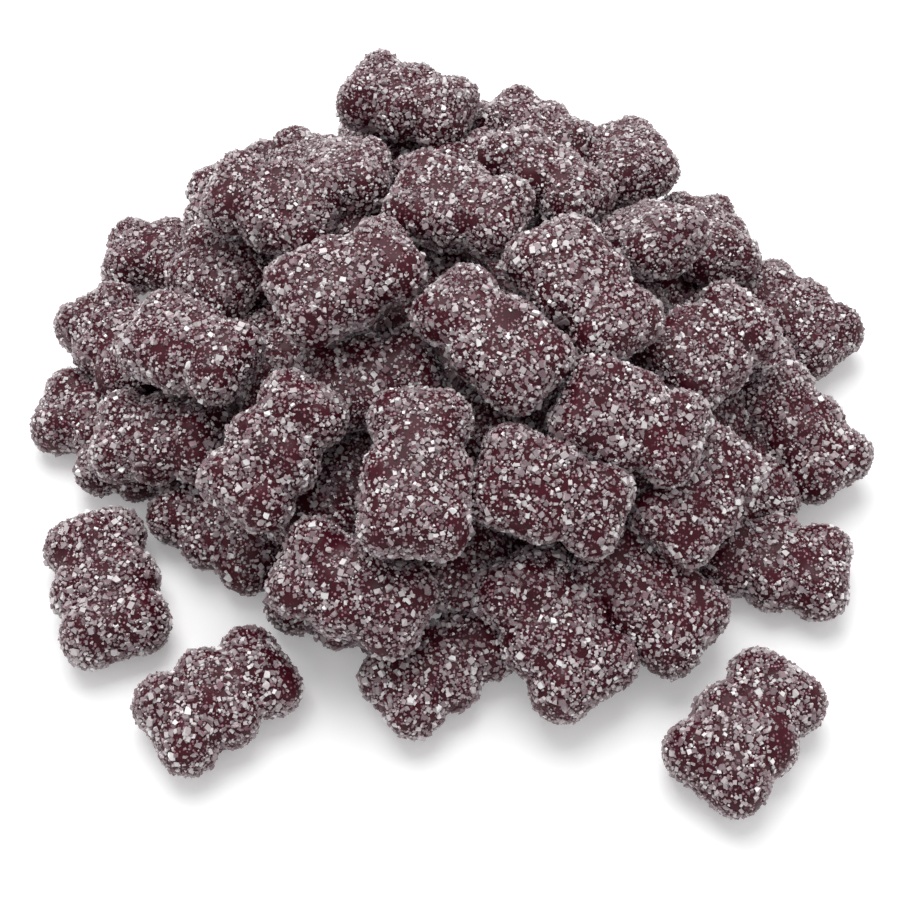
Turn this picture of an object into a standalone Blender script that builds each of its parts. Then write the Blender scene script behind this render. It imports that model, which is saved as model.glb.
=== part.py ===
# A heap of sugared gummy bears with three loose bears beside it.
# Metres, +Z up. The origin is on the resting surface, under the middle of the heap.
import bmesh
import bpy
from math import radians
from mathutils import Matrix, Vector

MM = 0.001

# One bear: x runs from the feet to the head, y across, z from the back to the belly.
BEAR_SIZE = 0.96          # of the sizes below, for the jelly of an ordinary bear
SUGAR = 0.5 * MM          # how far the sugar coat stands out over the jelly
BACK = 4.7                # from the bear's centre to its flattened back, in mm
TRUNK = (8.9, 4.9, 4.1)   # half sizes in mm of the rounded block that the lobes stand out from
TRUNK_MIDDLE = -0.4
TRUNK_EDGE = 4.0
# Each lobe is (centre x, y, z, radius x, y, z) in mm; a lobe off the middle has a twin across.
LOBES = {
    "belly": (-1.8, 0.0, 0.4, 5.0, 4.4, 4.3),
    "face": (5.6, 0.0, 0.6, 3.9, 3.9, 4.2),
    "crown": (6.8, 0.0, -0.5, 3.2, 4.2, 3.8),
    "ear": (6.3, 2.9, -0.5, 3.8, 3.7, 3.9),
    "arm": (-0.6, 3.9, -0.4, 3.3, 3.1, 4.0),
    "paw": (0.3, 3.6, 1.5, 2.3, 2.1, 2.6),
    "rump": (-7.0, 0.0, -0.5, 3.4, 4.2, 4.0),
    "leg": (-6.9, 3.3, -0.4, 3.9, 3.7, 4.1),
    "foot": (-6.6, 3.3, 1.6, 3.0, 2.7, 2.8),
}
# The bears that lie back up have fuller sides between the arms and the legs.
FLANK = (-3.8, 3.6, -0.4, 3.6, 3.1, 3.9)

# The bears as they lie: x, y and z of the centre in mm, then the heading of the head,
# the rise of the head end and the roll about the bear's length in degrees.
# A roll of 0 is belly up, 180 is back up. A seventh number makes a bear bigger or smaller.
TOP_BEARS = [
    (1.5, 10, 30, -25, 5, 188),
    (5, -12, 30, 137, 10, 175),
    (-13, -4, 31.5, 25, 10, 182),
    (17.5, -4, 29, -53, -10, 172, 1.05),
    (-4, -29, 25, 87, 12, 180, 1.05),
    (-22, -24, 23, 52, 25, 0),
    (12.7, -30, 21.5, -15, -15, 205),
    (23, -21, 24, -18, -12, 200),
    (-10, -12, 21, 12, 5, 190),
    (14, 23, 23, -42, 0, -20),
    (28, 11, 22.5, -70, 40, 190),
    (-15, 23, 22.5, -87, 30, 180),
    (-25, 16, 24.5, 159, 0, 163),
]
MIDDLE_BEARS = [
    (-34, -8, 22, -32, 10, 190),
    (-12, -40, 15, -25, -5, 25),
    (32.3, -26, 15, 50, 8, 205, 0.92),
    (35, -5, 19, 42, 0, 190),
    (14, 40, 15, -35, 0, -10),
    (-6, 41, 21, -22, 0, -5, 1.04),
    (27, 34, 14.5, -80, 25, 190),
    (39, 23, 10, -80, 20, -10),
    (-33, 23, 15, 95, 0, 0),
    (-21, 35, 12, -80, 20, -20),
    (-31, 14, 14, 50, 0, 180),
    (-39, -15, 12, -10, 10, 10),
    (-15, -23, 12, 60, 0, 0),
    (7, -13, 18, 60, 0, 0),
    (-4, 4, 20, 40, 0, 0),
    (-12, 14, 20, -30, 0, 0),
    (24, 24, 11, -30, 0, 0),
    (1, 29, 17, 30, 0, 0),
    (24, -2, 15, 60, 0, 0),
    (-22, -9, 14, -60, 0, 0),
    (-5, 41, 10, 15, 0, 180),
]
RING_BEARS = [
    (-1, -45, 4.7, 38, 0, 0),
    (13, -42, 9, 125, 18, 0, 1.09),
    (25, -37, 8, 141, 15, 180, 1.04),
    (43, -30, 4.7, 166, 0, 0),
    (49, -10.5, 8, 125, 16, 0),
    (51, 12, 5.5, 130, 0, 0),
    (37, 13, 4.7, 100, 0, 0),
    (36, -8, 8, 60, 0, 0),
    (38, -20, 4.7, 20, 0, 0),
    (2, -30, 9, 80, 0, 0),
    (-13, -36, 4.7, -20, 0, 0),
    (-30.5, -24.8, 4.7, -38, 0, 0),
    (-42.6, -13.8, 4.6, -10, 0, 0, 0.9),
    (-49.3, -6.5, 4.7, -12, 0, 0),
    (-41, 7, 4.7, 30, 0, 0),
    (-48, 3, 10, -55, 5, 10),
    (-28, 2, 9, -20, 0, 0),
    (-43, 23, 6, 0, 0, 0),
    (-30, 31, 6, 95, 0, 0),
    (-23, 42, 4.7, 10, 0, 0),
    (-8, 50, 4.7, 10, 0, 0),
    (11, 49, 4.7, -10, 0, 0),
    (18, 38, 6, -40, 0, 0),
    (43, 1, 8, 100, 0, 0),
    (44, -7, 4.7, 90, 0, 0),
]
LOOSE_BEARS = {
    "bear_left": (-45.8, -33.4, 5.0, 109, 0, 0, 1.07),
    "bear_front_left": (-29, -49.5, 4.85, 36, 0, 0, 1.03),
    "bear_front_right": (37.2, -53.7, 4.9, 50, 0, 0, 1.05),
}

# What the bears are heaped on inside: a low dome of more jelly.
DOME_RADIUS_X = 42 * MM
DOME_RADIUS_Y = 37 * MM
DOME_HEIGHT = 22 * MM

HEAP_VOXEL = 1.1 * MM
SOFTENING = 2             # smoothing passes over the fused skin
HEAP_TRIANGLES = 7500
BEAR_VOXEL = 0.8 * MM
BEAR_TRIANGLES = 480

JELLY = (0.09, 0.035, 0.05, 1.0)


def clear_scene():
    for item in list(bpy.data.objects):
        bpy.data.objects.remove(item)


def make_collection(name):
    collection = bpy.data.collections.new(name)
    bpy.context.scene.collection.children.link(collection)
    return collection


def jelly_material():
    material = bpy.data.materials.new("sugared_jelly")
    material.use_nodes = True
    shader = material.node_tree.nodes["Principled BSDF"]
    shader.inputs["Base Color"].default_value = JELLY
    shader.inputs["Roughness"].default_value = 0.5
    shader.inputs["Metallic"].default_value = 0.0
    material.diffuse_color = JELLY
    return material


def bear_matrix(x, y, z, heading, rise, roll):
    turn = (Matrix.Rotation(radians(heading), 4, "Z")
            @ Matrix.Rotation(radians(-rise), 4, "Y")
            @ Matrix.Rotation(radians(roll), 4, "X"))
    return Matrix.Translation(Vector((x, y, z)) * MM) @ turn


def add_bear(cage, place):
    """Add one bear's block and lobes, with the back flattened, to the cage."""
    scale = BEAR_SIZE * MM * (place[6] if len(place) > 6 else 1)
    bear = bmesh.new()
    half_sizes = [s * scale + SUGAR for s in TRUNK]
    bmesh.ops.create_cube(bear, size=2, matrix=Matrix.Diagonal(half_sizes + [1]))
    bmesh.ops.bevel(bear, geom=bear.edges[:], affect="EDGES", offset=TRUNK_EDGE * scale,
                    segments=4, profile=0.5)
    bmesh.ops.translate(bear, verts=bear.verts, vec=(0, 0, TRUNK_MIDDLE * scale))

    back_up = abs(place[5] - 180) < 90
    for x, y, z, *radii in [*LOBES.values()] + [FLANK] * back_up:
        size = Matrix.Diagonal([r * scale + SUGAR for r in radii] + [1])
        for side in ((1, -1) if y else (1,)):
            centre = Matrix.Translation(Vector((x, y * side, z)) * scale)
            bmesh.ops.create_icosphere(bear, subdivisions=3, radius=1, matrix=centre @ size)
    for vert in bear.verts:
        vert.co.z = max(vert.co.z, -BACK * scale - SUGAR)
    bear.transform(bear_matrix(*place[:6]))
    lobes = bpy.data.meshes.new("lobes")
    bear.to_mesh(lobes)
    bear.free()
    cage.from_mesh(lobes)
    bpy.data.meshes.remove(lobes)


def add_dome(cage):
    """Add the inner dome, which reaches below the surface until the floor cuts it."""
    size = Matrix.Diagonal((DOME_RADIUS_X, DOME_RADIUS_Y, DOME_HEIGHT, 1))
    bmesh.ops.create_icosphere(cage, subdivisions=4, radius=1, matrix=size)


def evaluated_mesh(item):
    graph = bpy.context.evaluated_depsgraph_get()
    return bpy.data.meshes.new_from_object(item.evaluated_get(graph))


def bake(item):
    """Replace the object's mesh with the result of its modifiers."""
    mesh = evaluated_mesh(item)
    item.modifiers.clear()
    item.data = mesh


def keep_outer_body(mesh):
    """Drop the sealed gaps inside the heap, which are bodies of their own, and soften the rest."""
    shell = bmesh.new()
    shell.from_mesh(mesh)
    shell.verts.ensure_lookup_table()
    top = max(shell.verts, key=lambda vert: vert.co.z)
    outer = {top}
    edge_of_walk = [top]
    while edge_of_walk:
        vert = edge_of_walk.pop()
        for edge in vert.link_edges:
            other = edge.other_vert(vert)
            if other not in outer:
                outer.add(other)
                edge_of_walk.append(other)
    inner = [vert for vert in shell.verts if vert not in outer]
    bmesh.ops.delete(shell, geom=inner, context="VERTS")
    for _ in range(SOFTENING):
        bmesh.ops.smooth_vert(shell, verts=shell.verts, factor=0.5,
                              use_axis_x=True, use_axis_y=True, use_axis_z=True)
    shell.to_mesh(mesh)
    shell.free()


def make_floor_cutter(cutters):
    """A slab under the resting surface, which every piece is cut flat by."""
    reach = 200 * MM
    depth = 60 * MM
    slab = bmesh.new()
    bmesh.ops.create_cube(slab, size=1, matrix=Matrix.Translation((0, 0, -depth / 2))
                          @ Matrix.Diagonal((reach, reach, depth, 1)))
    mesh = bpy.data.meshes.new("floor_cutter")
    slab.to_mesh(mesh)
    slab.free()
    cutter = bpy.data.objects.new("floor_cutter", mesh)
    cutter.hide_render = True
    cutter.display_type = "WIRE"
    cutters.objects.link(cutter)
    return cutter


def make_jelly_body(name, cage, voxel, triangles, parts, cutter, material):
    """Fuse the cage's lobes into one skin, thin it out and cut it flat to stand on."""
    mesh = bpy.data.meshes.new(name)
    cage.to_mesh(mesh)
    cage.free()
    body = bpy.data.objects.new(name, mesh)
    parts.objects.link(body)

    fuse = body.modifiers.new("fuse", "REMESH")
    fuse.mode = "VOXEL"
    fuse.voxel_size = voxel
    bake(body)
    keep_outer_body(body.data)

    thin = body.modifiers.new("thin", "DECIMATE")
    thin.ratio = triangles / (2 * len(body.data.polygons))
    bake(body)

    stand = body.modifiers.new("stand", "BOOLEAN")
    stand.operation = "DIFFERENCE"
    stand.object = cutter
    body.data.materials.append(material)
    return body


def build():
    clear_scene()
    parts = make_collection("gummy_bears")
    cutters = make_collection("cutters")
    cutter = make_floor_cutter(cutters)
    material = jelly_material()

    heap = bmesh.new()
    add_dome(heap)
    for place in TOP_BEARS + MIDDLE_BEARS + RING_BEARS:
        add_bear(heap, place)
    make_jelly_body("bear_heap", heap, HEAP_VOXEL, HEAP_TRIANGLES, parts, cutter, material)

    for name, place in LOOSE_BEARS.items():
        cage = bmesh.new()
        add_bear(cage, place)
        make_jelly_body(name, cage, BEAR_VOXEL, BEAR_TRIANGLES, parts, cutter, material)


build()
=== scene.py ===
import math

import bmesh
import bpy
import numpy as np
from mathutils import Matrix, Vector, noise
from mathutils.bvhtree import BVHTree


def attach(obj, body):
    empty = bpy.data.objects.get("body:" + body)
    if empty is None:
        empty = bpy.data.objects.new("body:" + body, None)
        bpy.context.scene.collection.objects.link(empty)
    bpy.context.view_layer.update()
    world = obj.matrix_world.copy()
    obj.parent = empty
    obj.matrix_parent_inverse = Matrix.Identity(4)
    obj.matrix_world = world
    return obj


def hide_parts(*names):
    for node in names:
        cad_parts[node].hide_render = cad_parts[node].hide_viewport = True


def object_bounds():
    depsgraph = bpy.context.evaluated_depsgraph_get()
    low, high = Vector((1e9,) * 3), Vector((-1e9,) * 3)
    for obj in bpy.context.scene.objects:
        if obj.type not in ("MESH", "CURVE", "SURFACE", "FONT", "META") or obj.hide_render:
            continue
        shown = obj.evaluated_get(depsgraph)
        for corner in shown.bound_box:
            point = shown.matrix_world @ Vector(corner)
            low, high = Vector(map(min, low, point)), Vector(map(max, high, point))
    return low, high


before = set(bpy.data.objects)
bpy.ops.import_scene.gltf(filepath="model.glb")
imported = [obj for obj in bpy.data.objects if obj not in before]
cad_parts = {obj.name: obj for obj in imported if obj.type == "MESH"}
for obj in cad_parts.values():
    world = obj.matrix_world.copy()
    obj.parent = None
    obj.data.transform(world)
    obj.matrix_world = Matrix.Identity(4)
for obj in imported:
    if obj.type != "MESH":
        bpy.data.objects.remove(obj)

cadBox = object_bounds()
mm = 0.001
scene = bpy.context.scene


# helpers

def linearColor(hexCode):
    channels = [int(hexCode[i:i + 2], 16) / 255 for i in (1, 3, 5)]
    bent = [c / 12.92 if c <= 0.04045 else ((c + 0.055) / 1.055) ** 2.4 for c in channels]
    return (*bent, 1.0)


def addNode(tree, kind, settings=None, links=None):
    node = tree.nodes.new(kind)
    for name, value in (settings or {}).items():
        if isinstance(name, int) or name in node.inputs:
            node.inputs[name].default_value = value
        else:
            setattr(node, name, value)
    for name, source in (links or {}).items():
        tree.links.new(source, node.inputs[name])
    return node


def newMaterial(name):
    material = bpy.data.materials.new(name)
    material.use_nodes = True
    tree = material.node_tree
    return material, tree, tree.nodes["Principled BSDF"]


def addPiece(name, mesh, nodes, material, smooth):
    piece = bpy.data.objects.new(name, mesh)
    scene.collection.objects.link(piece)
    mesh.materials.clear()
    mesh.materials.append(material)
    if smooth:
        mesh.shade_smooth()
    else:
        mesh.shade_flat()
    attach(piece, "root")
    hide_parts(*nodes)
    print("made", name, len(mesh.polygons), "faces")
    return piece


# camera

cameraPlan = {
    "place": (0, -124.7 * mm, 171.6 * mm),
    "tilt": 34,           # degrees away from straight down
    "lens": 57.08,
    "sensor": 36,
}


def setCamera(plan):
    data = bpy.data.cameras.new("camera")
    data.lens = plan["lens"]
    data.sensor_width = plan["sensor"]
    data.clip_start = 0.01
    camera = bpy.data.objects.new("camera", data)
    camera.location = plan["place"]
    camera.rotation_euler = (math.radians(plan["tilt"]), 0, 0)
    scene.collection.objects.link(camera)
    scene.camera = camera


setCamera(cameraPlan)
print("camera set")


# materials

jellyLook = {
    "deep": "#1e040c",
    "lit": "#4e0c1d",
    "dustLow": "#4a1a28",
    "dustHigh": "#b88e9b",
    "patch": 4.0,         # mm across the lighter and darker patches
    "dustGrain": 0.4,     # mm, the finest sugar, drawn a little coarser than it is
    "dustDepth": 0.12,    # mm
    "dustShare": 0.42,    # of the skin
    "roughness": 0.42,
}


def castJelly(look):
    # fruit jelly cast in starch moulds and sanded with fine sugar: dark wine red under a pale grit
    material, tree, shader = newMaterial("castWineJelly")
    spot = addNode(tree, "ShaderNodeTexCoord").outputs["Object"]
    patches = addNode(tree, "ShaderNodeTexNoise",
                      {"Scale": 1 / (look["patch"] * mm), "Detail": 2.0}, {"Vector": spot})
    jelly = addNode(tree, "ShaderNodeMix",
                    {"data_type": "RGBA", 6: linearColor(look["deep"]), 7: linearColor(look["lit"])},
                    {0: patches.outputs[0]})
    grain = addNode(tree, "ShaderNodeTexVoronoi",
                    {"Scale": 1 / (look["dustGrain"] * mm)}, {"Vector": spot})
    lot = addNode(tree, "ShaderNodeSeparateColor", {}, {"Color": grain.outputs["Color"]})
    share = addNode(tree, "ShaderNodeMath", {"operation": "LESS_THAN", 1: look["dustShare"]},
                    {0: lot.outputs["Red"]})
    crumb = addNode(tree, "ShaderNodeMapRange",
                    {"From Min": 0.34, "From Max": 0.52, "To Min": 1.0, "To Max": 0.0},
                    {"Value": grain.outputs["Distance"]})
    relief = addNode(tree, "ShaderNodeMath", {"operation": "MULTIPLY"},
                     {0: crumb.outputs[0], 1: share.outputs[0]})
    sugar = addNode(tree, "ShaderNodeMix",
                    {"data_type": "RGBA", 6: linearColor(look["dustLow"]),
                     7: linearColor(look["dustHigh"])},
                    {0: lot.outputs["Green"]})
    coat = addNode(tree, "ShaderNodeMix", {"data_type": "RGBA"},
                   {0: relief.outputs[0], 6: jelly.outputs[2], 7: sugar.outputs[2]})
    bump = addNode(tree, "ShaderNodeBump",
                   {"Strength": 0.8, "Distance": look["dustDepth"] * mm},
                   {"Height": relief.outputs[0]})
    tree.links.new(coat.outputs[2], shader.inputs["Base Color"])
    tree.links.new(bump.outputs[0], shader.inputs["Normal"])
    shader.inputs["Roughness"].default_value = look["roughness"]
    shader.inputs["IOR"].default_value = 1.48
    # the grit breaks up most of the gloss
    shader.inputs["Specular IOR Level"].default_value = 0.2
    shader.inputs["Subsurface Weight"].default_value = 0.1
    shader.inputs["Subsurface Scale"].default_value = 1.5 * mm
    shader.inputs["Subsurface Radius"].default_value = (1.0, 0.25, 0.3)
    return material


# facet colours run from low, the dark jelly seen through the crystal painted in, to high, a painted
# glint (on the frosted ones partly the sugar's own white)
frostedLook = {"name": "frostedSugar", "low": "#6b3646", "high": "#ffffff", "roughness": 0.3,
               "clearness": 0.0}
clearLook = {"name": "clearSugar", "low": "#9a6a79", "high": "#fff6f9", "roughness": 0.12,
             "clearness": 0.6}


def crystalSugar(look):
    # coarse sugar crystals: hard facets, each painted a random brightness, from the jelly seen
    # through the crystal painted in as dark red to white, a painted glint that on the frosted ones
    # is partly their own white
    material, tree, shader = newMaterial(look["name"])
    paintedFacetLight = addNode(tree, "ShaderNodeAttribute", {"attribute_name": "paintedFacetLight"})
    color = addNode(tree, "ShaderNodeMix",
                    {"data_type": "RGBA", 6: linearColor(look["low"]), 7: linearColor(look["high"])},
                    {0: paintedFacetLight.outputs["Fac"]})
    tree.links.new(color.outputs[2], shader.inputs["Base Color"])
    shader.inputs["Roughness"].default_value = look["roughness"]
    shader.inputs["IOR"].default_value = 1.56
    shader.inputs["Transmission Weight"].default_value = look["clearness"]
    return material


jelly = castJelly(jellyLook)
frostedSugar = crystalSugar(frostedLook)
clearSugar = crystalSugar(clearLook)


# bears

bearMould = {
    # centre x, y, z and radii in mm: x to the head, z to the belly; off the middle means a pair
    "lobes": {
        "belly": (-1.8, 0.0, 0.4, 5.0, 4.4, 4.3),
        "face": (5.6, 0.0, 0.6, 3.9, 3.9, 4.2),
        "crown": (6.8, 0.0, -0.5, 3.2, 4.2, 3.8),
        "ear": (6.3, 2.9, -0.5, 3.8, 3.7, 3.9),
        "arm": (-0.6, 3.9, -0.4, 3.3, 3.1, 4.0),
        "paw": (0.3, 3.6, 1.5, 2.3, 2.1, 2.6),
        "rump": (-7.0, 0.0, -0.5, 3.4, 4.2, 4.0),
        "leg": (-6.9, 3.3, -0.4, 3.9, 3.7, 4.1),
        "foot": (-6.6, 3.3, 1.6, 3.0, 2.7, 2.8),
    },
    # the other mould, with full sides between arms and legs
    "flank": (-3.8, 3.6, -0.4, 3.6, 3.1, 3.9),
    "trunk": (8.9, 4.9, 4.1),   # half sizes of the block that the lobes stand out from
    "trunkMiddle": -0.4,
    "trunkEdge": 4.0,
    "flatBack": 4.7,      # mm from the centre to the flat back
    "voxel": 0.6,
    "softening": 12,      # smoothing passes over the creases
    "regrow": 0.2,        # mm that smoothing takes off and each lobe gets back
    "size": 0.955,        # the jelly inside its coat of sugar
    "stretch": 0.04,      # how much one bear differs from the next
    "bend": 0.004,        # per mm
    "twist": 0.7,         # degrees per mm
}

# each bear's centre x, y, z in mm, heading, rise of the head and roll in degrees (180: back up),
# and how much bigger than the rest it is, if it is
pile = {
    "upper": [
        (1.5, 10, 30, -25, 5, 188),
        (5, -12, 30, 137, 10, 175),
        (-13, -4, 31.5, 25, 10, 182),
        (17.5, -4, 29, -53, -10, 172, 1.05),
        (-4, -29, 25, 87, 12, 180, 1.05),
        (-22, -24, 23, 52, 25, 0),
        (12.7, -30, 21.5, -15, -15, 205),
        (23, -21, 24, -18, -12, 200),
        (-10, -12, 21, 12, 5, 190),
        (14, 23, 23, -42, 0, -20),
        (28, 11, 22.5, -70, 40, 190),
        (-15, 23, 22.5, -87, 30, 180),
        (-25, 16, 24.5, 159, 0, 163),
    ],
    "middle": [
        (-34, -8, 22, -32, 10, 190),
        (-12, -40, 15, -25, -5, 25),
        (32.3, -26, 15, 50, 8, 205, 0.92),
        (35, -5, 19, 42, 0, 190),
        (14, 40, 15, -35, 0, -10),
        (-6, 41, 21, -22, 0, -5, 1.04),
        (27, 34, 14.5, -80, 25, 190),
        (39, 23, 10, -80, 20, -10),
        (-33, 23, 15, 95, 0, 0),
        (-21, 35, 12, -80, 20, -20),
        (-31, 14, 14, 50, 0, 180),
        (-39, -15, 12, -10, 10, 10),
        (-15, -23, 12, 60, 0, 0),
        (7, -13, 18, 60, 0, 0),
        (-4, 4, 20, 40, 0, 0),
        (-12, 14, 20, -30, 0, 0),
        (24, 24, 11, -30, 0, 0),
        (1, 29, 17, 30, 0, 0),
        (24, -2, 15, 60, 0, 0),
        (-22, -9, 14, -60, 0, 0),
        (-5, 41, 10, 15, 0, 180),
    ],
    "ring": [
        (-1, -45, 4.7, 38, 0, 0),
        (13, -42, 9, 125, 18, 0, 1.09),
        (25, -37, 8, 141, 15, 180, 1.04),
        (43, -30, 4.7, 166, 0, 0),
        (49, -10.5, 8, 125, 16, 0),
        (51, 12, 5.5, 130, 0, 0),
        (37, 13, 4.7, 100, 0, 0),
        (36, -8, 8, 60, 0, 0),
        (38, -20, 4.7, 20, 0, 0),
        (2, -30, 9, 80, 0, 0),
        (-13, -36, 4.7, -20, 0, 0),
        (-30.5, -24.8, 4.7, -38, 0, 0),
        (-42.6, -13.8, 4.6, -10, 0, 0, 0.9),
        (-49.3, -6.5, 4.7, -12, 0, 0),
        (-41, 7, 4.7, 30, 0, 0),
        (-48, 3, 10, -55, 5, 10),
        (-28, 2, 9, -20, 0, 0),
        (-43, 23, 6, 0, 0, 0),
        (-30, 31, 6, 95, 0, 0),
        (-23, 42, 4.7, 10, 0, 0),
        (-8, 50, 4.7, 10, 0, 0),
        (11, 49, 4.7, -10, 0, 0),
        (18, 38, 6, -40, 0, 0),
        (43, 1, 8, 100, 0, 0),
        (44, -7, 4.7, 90, 0, 0),
    ],
    "bear_left": [(-45.8, -33.4, 5.0, 109, 0, 0, 1.07)],
    "bear_front_left": [(-29, -49.5, 4.85, 36, 0, 0, 1.03)],
    "bear_front_right": [(37.2, -53.7, 4.9, 50, 0, 0, 1.05)],
}

core = {"size": (40, 35, 17)}     # mm, half widths and height of the dome of buried bears


def castBear(mould, plump):
    # a block and lobes pressed together, fused into one skin and softened at the creases
    bear = bmesh.new()
    grow = mould["regrow"]
    bmesh.ops.create_cube(bear, size=2)
    length, width, height = (s + grow for s in mould["trunk"])
    bmesh.ops.scale(bear, verts=bear.verts, vec=(length, width, height))
    bmesh.ops.bevel(bear, geom=bear.edges[:], affect="EDGES", offset=mould["trunkEdge"],
                    segments=6, profile=0.5, material=-1)
    bmesh.ops.translate(bear, verts=bear.verts, vec=(0, 0, mould["trunkMiddle"]))
    lobes = list(mould["lobes"].values()) + [mould["flank"]] * plump
    for x, y, z, *radii in lobes:
        radii = [r + grow for r in radii]
        for side in ((1, -1) if y else (1,)):
            bmesh.ops.create_icosphere(
                bear, subdivisions=3, radius=1,
                matrix=Matrix.Translation((x, y * side, z)) @ Matrix.Diagonal((*radii, 1)))
    for vert in bear.verts:
        vert.co.z = max(vert.co.z, -mould["flatBack"] - grow)
    mesh = bpy.data.meshes.new("bearLobes")
    bear.to_mesh(mesh)
    bear.free()
    holder = bpy.data.objects.new("bearMould", mesh)
    scene.collection.objects.link(holder)
    fuse = holder.modifiers.new("fuse", "REMESH")
    fuse.mode = "VOXEL"
    fuse.voxel_size = mould["voxel"]
    graph = bpy.context.evaluated_depsgraph_get()
    skin = bmesh.new()
    skin.from_mesh(holder.evaluated_get(graph).to_mesh())
    bpy.data.objects.remove(holder)
    for _ in range(mould["softening"]):
        bmesh.ops.smooth_vert(skin, verts=skin.verts, factor=0.5,
                              use_axis_x=True, use_axis_y=True, use_axis_z=True)
    return skin


def layBear(cast, place, mould, chance):
    # one bear, bent and stretched a little, laid in its place
    bear = cast.copy()
    x, y, z, heading, rise, roll, *size = place
    stretch = mould["size"] * (size[0] if size else 1)
    stretch = stretch * (1 + mould["stretch"] * chance.uniform(-1, 1, 3))
    bend = mould["bend"] * chance.uniform(-1, 1)
    twist = math.radians(mould["twist"] * chance.uniform(-1, 1))
    for vert in bear.verts:
        along, across, up = (vert.co[i] * stretch[i] for i in range(3))
        across, up = Matrix.Rotation(twist * along, 2) @ Vector((across, up))
        vert.co = (along, across, up + bend * (along * along - 40))
    lie = (Matrix.Translation((x, y, z))
           @ Matrix.Rotation(math.radians(heading), 4, "Z")
           @ Matrix.Rotation(math.radians(-rise), 4, "Y")
           @ Matrix.Rotation(math.radians(roll), 4, "X"))
    bear.transform(Matrix.Scale(mm, 4) @ lie)
    for vert in bear.verts:
        vert.co.z = max(vert.co.z, 0.15 * mm)
    mesh = bpy.data.meshes.new("bear")
    bear.to_mesh(mesh)
    bear.free()
    return mesh


casts = [castBear(bearMould, plump) for plump in (False, True)]
print("bears cast")
chance = np.random.default_rng(11)
jellyMeshes = {}
for group, places in pile.items():
    together = bmesh.new()
    for place in places:
        backUp = math.cos(math.radians(place[5])) < 0
        bear = layBear(casts[backUp], place, bearMould, chance)
        together.from_mesh(bear)
        bpy.data.meshes.remove(bear)
    mesh = bpy.data.meshes.new(group)
    together.to_mesh(mesh)
    together.free()
    jellyMeshes[group] = mesh

heapParts = ("upper", "middle", "ring")
for group, mesh in jellyMeshes.items():
    node = "bear_heap" if group in heapParts else group
    addPiece("jelly-" + group, mesh, [node], jelly, smooth=True)


def makeCore(size):
    dome = bmesh.new()
    bmesh.ops.create_icosphere(dome, subdivisions=5, radius=1,
                               matrix=Matrix.Diagonal((*[s * mm for s in size], 1)))
    bmesh.ops.bisect_plane(dome, geom=dome.verts[:] + dome.edges[:] + dome.faces[:],
                           plane_co=(0, 0, 0.2 * mm), plane_no=(0, 0, -1), clear_outer=True)
    bmesh.ops.holes_fill(dome, edges=dome.edges)
    mesh = bpy.data.meshes.new("core")
    dome.to_mesh(mesh)
    dome.free()
    return addPiece("jelly-core", mesh, ["bear_heap"], jelly, smooth=True)


coreDome = makeCore(core["size"])


# sugar crystals

sugarCoat = {
    # crystals' length range in mm, how many are tried for each square mm, the most the heap
    # takes of frosted and of clear ones each, and the corners broken off
    "coarse": {"length": (0.6, 0.9), "perArea": 0.3, "most": 3500, "corners": 2},
    "medium": {"length": (0.42, 0.6), "perArea": 2.8, "most": 15500, "corners": 0},
    "fine": {"length": (0.28, 0.42), "perArea": 4.2, "most": 23500, "corners": 0},
    "clear": 0.5,         # share of clear crystals
    "room": 0.7,          # least distance between crystals, as a share of their lengths' mean
    "stand": 0.1,         # how far a crystal's middle is over the jelly, as a share of its length
    "reach": 0.75,        # room kept inside the part's measured box, as a share of the length
    "cover": 0.85,        # chance that a place with enough room gets its crystal
    "uneven": 1.2,        # how much that chance changes from patch to patch
    "lean": 0.35,         # how far crystals tip over
    "paintedFacetDimming": 1.2,       # above 1 makes more facets dark than bright in the painted facet light
    "patch": 3.0,         # mm across the patches where the sugar is thick or thin
    "shapes": 8,
}


def crystalShape(kind, coat, chance):
    # a block, or for the fine ones a wedge, with corners broken off, as arrays of triangles and
    # of the facet that each belongs to
    block = bmesh.new()
    if kind == "fine":
        bmesh.ops.create_cone(block, segments=3, radius1=0.6, radius2=0.45, depth=0.8, cap_ends=True)
    else:
        bmesh.ops.create_cube(block, size=1)
        bmesh.ops.scale(block, verts=block.verts,
                        vec=(1, chance.uniform(0.65, 0.95), chance.uniform(0.5, 0.8)))
    for vert in block.verts:
        vert.co += Vector(chance.uniform(-0.1, 0.1, 3))
    for _ in range(coat[kind]["corners"]):
        block.verts.ensure_lookup_table()
        corner = block.verts[int(chance.integers(len(block.verts)))].co.copy()
        cut = bmesh.ops.bisect_plane(block, geom=block.verts[:] + block.edges[:] + block.faces[:],
                                     plane_co=corner * chance.uniform(0.5, 0.75),
                                     plane_no=corner.normalized(), clear_outer=True)
        rim = [e for e in cut["geom_cut"] if isinstance(e, bmesh.types.BMEdge)]
        bmesh.ops.contextual_create(block, geom=rim)
    bmesh.ops.recalc_face_normals(block, faces=block.faces)
    for i, face in enumerate(block.faces):
        face.material_index = i
    bmesh.ops.triangulate(block, faces=block.faces)
    block.verts.index_update()
    points = np.array([vert.co[:] for vert in block.verts])
    triangles = np.array([[vert.index for vert in face.verts] for face in block.faces])
    facets = np.array([face.material_index for face in block.faces])
    block.free()
    return points, triangles, facets


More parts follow.
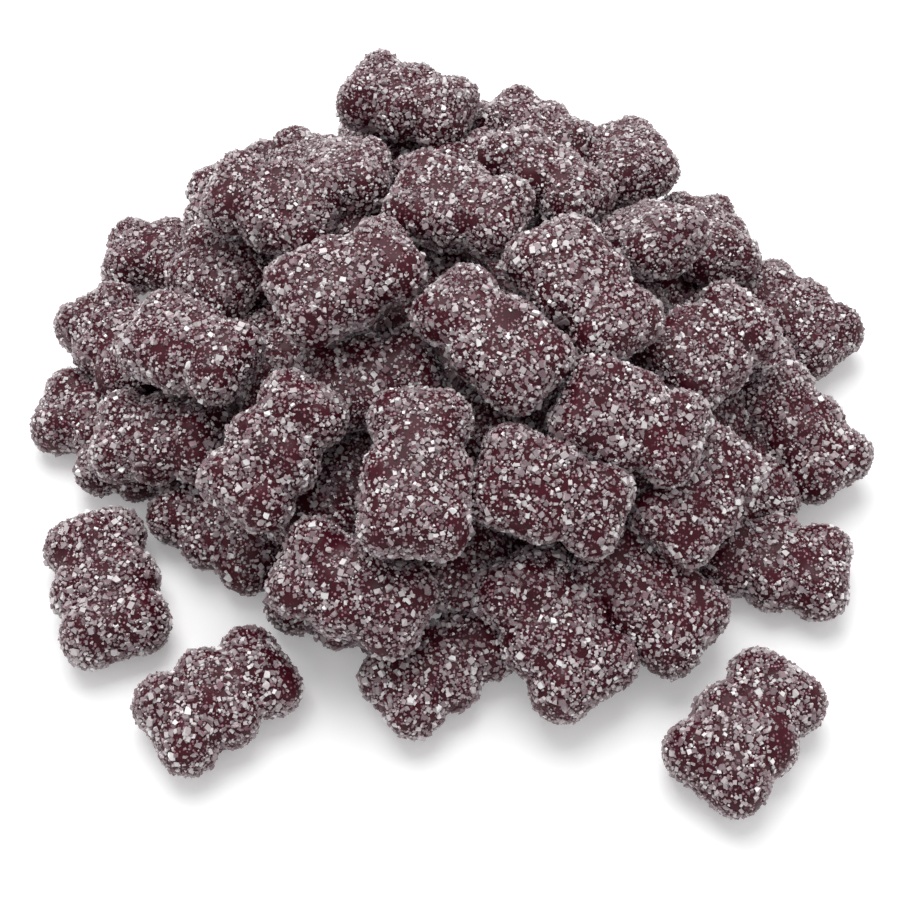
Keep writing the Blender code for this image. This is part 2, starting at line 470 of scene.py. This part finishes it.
def skinOf(meshes):
    # the jelly's triangles as arrays: corners, normals at the corners, areas
    corners, normals = [], []
    for mesh in meshes:
        mesh.calc_loop_triangles()
        index = np.empty(3 * len(mesh.loop_triangles), dtype=int)
        mesh.loop_triangles.foreach_get("vertices", index)
        co = np.empty(3 * len(mesh.vertices))
        mesh.vertices.foreach_get("co", co)
        up = np.empty(3 * len(mesh.vertices))
        mesh.vertices.foreach_get("normal", up)
        corners.append(co.reshape(-1, 3)[index].reshape(-1, 3, 3))
        normals.append(up.reshape(-1, 3)[index].reshape(-1, 3, 3))
    corners, normals = np.concatenate(corners), np.concatenate(normals)
    edges = corners[:, 1:] - corners[:, :1]
    areas = np.linalg.norm(np.cross(edges[:, 0], edges[:, 1]), axis=1) / 2
    return corners, normals, areas


def skyRays(count):
    # spread evenly over the sky and a little below the horizon
    rays = []
    for i in range(count):
        z = 1 - 1.12 * (i + 0.5) / count
        turn = i * math.pi * (3 - math.sqrt(5))
        level = math.sqrt(1 - z * z)
        rays.append(Vector((level * math.cos(turn), level * math.sin(turn), z)))
    return rays


def openToSky(spot, up, walls, rays):
    # whether the skin here shows from outside in at least two directions
    start = spot + up * 0.3 * mm
    seen = 0
    for ray in rays:
        if ray.dot(up) > -0.1 and walls.ray_cast(start, ray)[0] is None:
            seen += 1
            if seen == 2:
                return True
    return False


def sowSugar(skin, coat, walls, rays, chance):
    # places for crystals, the biggest first, where they show from outside
    corners, normals, areas = skin
    share = areas / areas.sum()
    sown = {}
    taken = {}
    cell = coat["coarse"]["length"][1] * mm
    around = [(x, y, z) for x in (-1, 0, 1) for y in (-1, 0, 1) for z in (-1, 0, 1)]
    for kind in ("coarse", "medium", "fine"):
        plan = coat[kind]
        tries = int(areas.sum() / mm ** 2 * plan["perArea"])
        picks = chance.choice(len(areas), size=tries, p=share)
        u, v = chance.random((2, tries))
        flip = u + v > 1
        u[flip], v[flip] = 1 - u[flip], 1 - v[flip]
        mix = np.stack([1 - u - v, u, v], axis=1)[:, :, None]
        spots = (corners[picks] * mix).sum(axis=1)
        ups = (normals[picks] * mix).sum(axis=1)
        ups /= np.linalg.norm(ups, axis=1)[:, None]
        lengths = chance.uniform(*plan["length"], tries) * mm
        kept, clear = chance.random((2, tries))
        for spot, up, length, keep, tint in zip(spots.tolist(), ups.tolist(), lengths.tolist(),
                                                kept.tolist(), clear.tolist()):
            finish = "clear" if tint < coat["clear"] else "frosted"
            mine = sown.setdefault((kind, finish), [])
            reach = coat["reach"] * length
            inside = all(low + reach < c < high - reach for c, low, high in zip(spot, *cadBox))
            if not inside or len(mine) >= plan["most"]:
                continue
            spot = Vector(spot)
            if keep > coat["cover"] + coat["uneven"] * noise.noise(spot / (coat["patch"] * mm)):
                continue
            home = [int(c // cell) for c in spot]
            near = (taken.get((home[0] + x, home[1] + y, home[2] + z), ()) for x, y, z in around)
            if any((other - spot).length < coat["room"] * (size + length) / 2
                   for others in near for other, size in others):
                continue
            up = Vector(up)
            if openToSky(spot, up, walls, rays):
                taken.setdefault(tuple(home), []).append((spot, length))
                mine.append((*spot, *up, length))
    return {key: np.array(grains) for key, grains in sown.items() if grains}


def growCrystals(name, node, grains, shapes, coat, material, chance):
    # one mesh of all these crystals, each turned its own way on the jelly's skin
    spots, ups, lengths = grains[:, :3], grains[:, 3:6], grains[:, 6]
    lean = ups + chance.normal(0, coat["lean"], ups.shape)
    lean /= np.linalg.norm(lean, axis=1)[:, None]
    along = np.cross(lean, chance.normal(size=ups.shape))
    along /= np.linalg.norm(along, axis=1)[:, None]
    frames = np.stack([along, np.cross(lean, along), lean], axis=2) * lengths[:, None, None]
    centres = spots + ups * coat["stand"] * lengths[:, None]
    which = chance.integers(len(shapes), size=len(grains))
    points, faces, paintedFacetLights = [], [], []
    start = 0
    for i, (shape, triangles, facets) in enumerate(shapes):
        mine = np.flatnonzero(which == i)
        placed = np.einsum("gij,vj->gvi", frames[mine], shape) + centres[mine, None]
        first = start + np.arange(len(mine))[:, None, None] * len(shape)
        points.append(placed.reshape(-1, 3))
        faces.append((triangles + first).reshape(-1, 3))
        # each crystal and each facet gets a random painted brightness that stands in for glints and
        # for the jelly seen through it
        ofCrystal = chance.random((len(mine), 1))
        ofFacet = chance.random((len(mine), facets.max() + 1))
        paintedFacetLight = 0.5 * ofCrystal + 0.5 * ofFacet
        paintedFacetLights.append(paintedFacetLight[:, facets].ravel() ** coat["paintedFacetDimming"])
        start += len(mine) * len(shape)
    points, faces = np.concatenate(points), np.concatenate(faces).astype(np.int32)
    points[:, 2] = np.maximum(points[:, 2], 0)
    mesh = bpy.data.meshes.new(name)
    mesh.vertices.add(len(points))
    mesh.vertices.foreach_set("co", points.ravel())
    mesh.loops.add(faces.size)
    mesh.loops.foreach_set("vertex_index", faces.ravel())
    mesh.polygons.add(len(faces))
    mesh.polygons.foreach_set("loop_start", np.arange(0, faces.size, 3, dtype=np.int32))
    mesh.update(calc_edges=True)
    # the painted facet brightness, one value for each facet
    mesh.attributes.new("paintedFacetLight", "FLOAT", "FACE").data.foreach_set("value", np.concatenate(paintedFacetLights))
    return addPiece(name, mesh, [node], material, smooth=False)


def wallsOf(meshes):
    together = bmesh.new()
    for mesh in meshes:
        together.from_mesh(mesh)
    walls = BVHTree.FromBMesh(together)
    together.free()
    return walls


walls = wallsOf(list(jellyMeshes.values()) + [coreDome.data])
rays = skyRays(26)
chance = np.random.default_rng(5)
shapes = {kind: [crystalShape(kind, sugarCoat, chance) for _ in range(sugarCoat["shapes"])]
          for kind in ("coarse", "medium", "fine")}
finishes = {"frosted": frostedSugar, "clear": clearSugar}
heapSkin = skinOf([jellyMeshes[part] for part in heapParts] + [coreDome.data])
for (kind, finish), grains in sowSugar(heapSkin, sugarCoat, walls, rays, chance).items():
    print(kind, finish, "crystals on the heap:", len(grains))
    growCrystals(f"sugar-{kind}-{finish}", "bear_heap", grains, shapes[kind],
                 sugarCoat, finishes[finish], chance)
for node in pile:
    if node not in heapParts:
        sown = sowSugar(skinOf([jellyMeshes[node]]), sugarCoat, walls, rays, chance)
        for (kind, finish), grains in sown.items():
            growCrystals(f"sugar-{kind}-{finish}-{node}", node, grains, shapes[kind],
                         sugarCoat, finishes[finish], chance)


# floor, lamps and surroundings

studio = {
    "floor": "#f4f4f4",
    "floorGlow": 0.22,    # what the floor shows the camera over its own lit white
    "world": 0.6,
    "lampPlace": (-0.05, 0.2, 0.5),
    "lampSize": 0.4,
    "lampWatts": 2.5,
}


def seenAsWhite(tree):
    # 1 where the camera or a reflection looks
    path = addNode(tree, "ShaderNodeLightPath")
    direct = addNode(tree, "ShaderNodeMath", {"operation": "ADD"},
                     {0: path.outputs["Is Camera Ray"], 1: path.outputs["Is Glossy Ray"]})
    either = addNode(tree, "ShaderNodeMath", {"operation": "ADD", "use_clamp": True},
                     {0: direct.outputs[0], 1: path.outputs["Is Transmission Ray"]})
    return either.outputs[0]


def makeFloor(plan):
    slab = bmesh.new()
    bmesh.ops.create_grid(slab, x_segments=1, y_segments=1, size=3)
    mesh = bpy.data.meshes.new("floor")
    slab.to_mesh(mesh)
    slab.free()
    floor = bpy.data.objects.new("floor", mesh)
    scene.collection.objects.link(floor)
    material, tree, shader = newMaterial("mattWhiteFloor")
    shader.inputs["Base Color"].default_value = linearColor(plan["floor"])
    shader.inputs["Roughness"].default_value = 1.0
    shader.inputs["Specular IOR Level"].default_value = 0.0
    glow = addNode(tree, "ShaderNodeMath", {"operation": "MULTIPLY", 1: plan["floorGlow"]},
                   {0: seenAsWhite(tree)})
    shader.inputs["Emission Color"].default_value = (1, 1, 1, 1)
    tree.links.new(glow.outputs[0], shader.inputs["Emission Strength"])
    mesh.materials.append(material)


def lightStudio(plan):
    world = bpy.data.worlds.new("studio")
    scene.world = world
    world.use_nodes = True
    tree = world.node_tree
    out = tree.nodes["World Output"]
    dim = tree.nodes["Background"]
    dim.inputs["Color"].default_value = (1, 1, 1, 1)
    dim.inputs["Strength"].default_value = plan["world"]
    white = addNode(tree, "ShaderNodeBackground", {"Color": (1, 1, 1, 1), "Strength": 1.0})
    mix = addNode(tree, "ShaderNodeMixShader", {},
                  {0: seenAsWhite(tree), 1: dim.outputs[0], 2: white.outputs[0]})
    tree.links.new(mix.outputs[0], out.inputs["Surface"])
    data = bpy.data.lights.new("softbox", "AREA")
    data.size = plan["lampSize"]
    data.energy = plan["lampWatts"]
    lamp = bpy.data.objects.new("softbox", data)
    lamp.location = plan["lampPlace"]
    lamp.rotation_euler = (-Vector(plan["lampPlace"])).to_track_quat("-Z", "Y").to_euler()
    scene.collection.objects.link(lamp)


makeFloor(studio)
lightStudio(studio)
scene.view_settings.view_transform = "Standard"
print("studio lit")
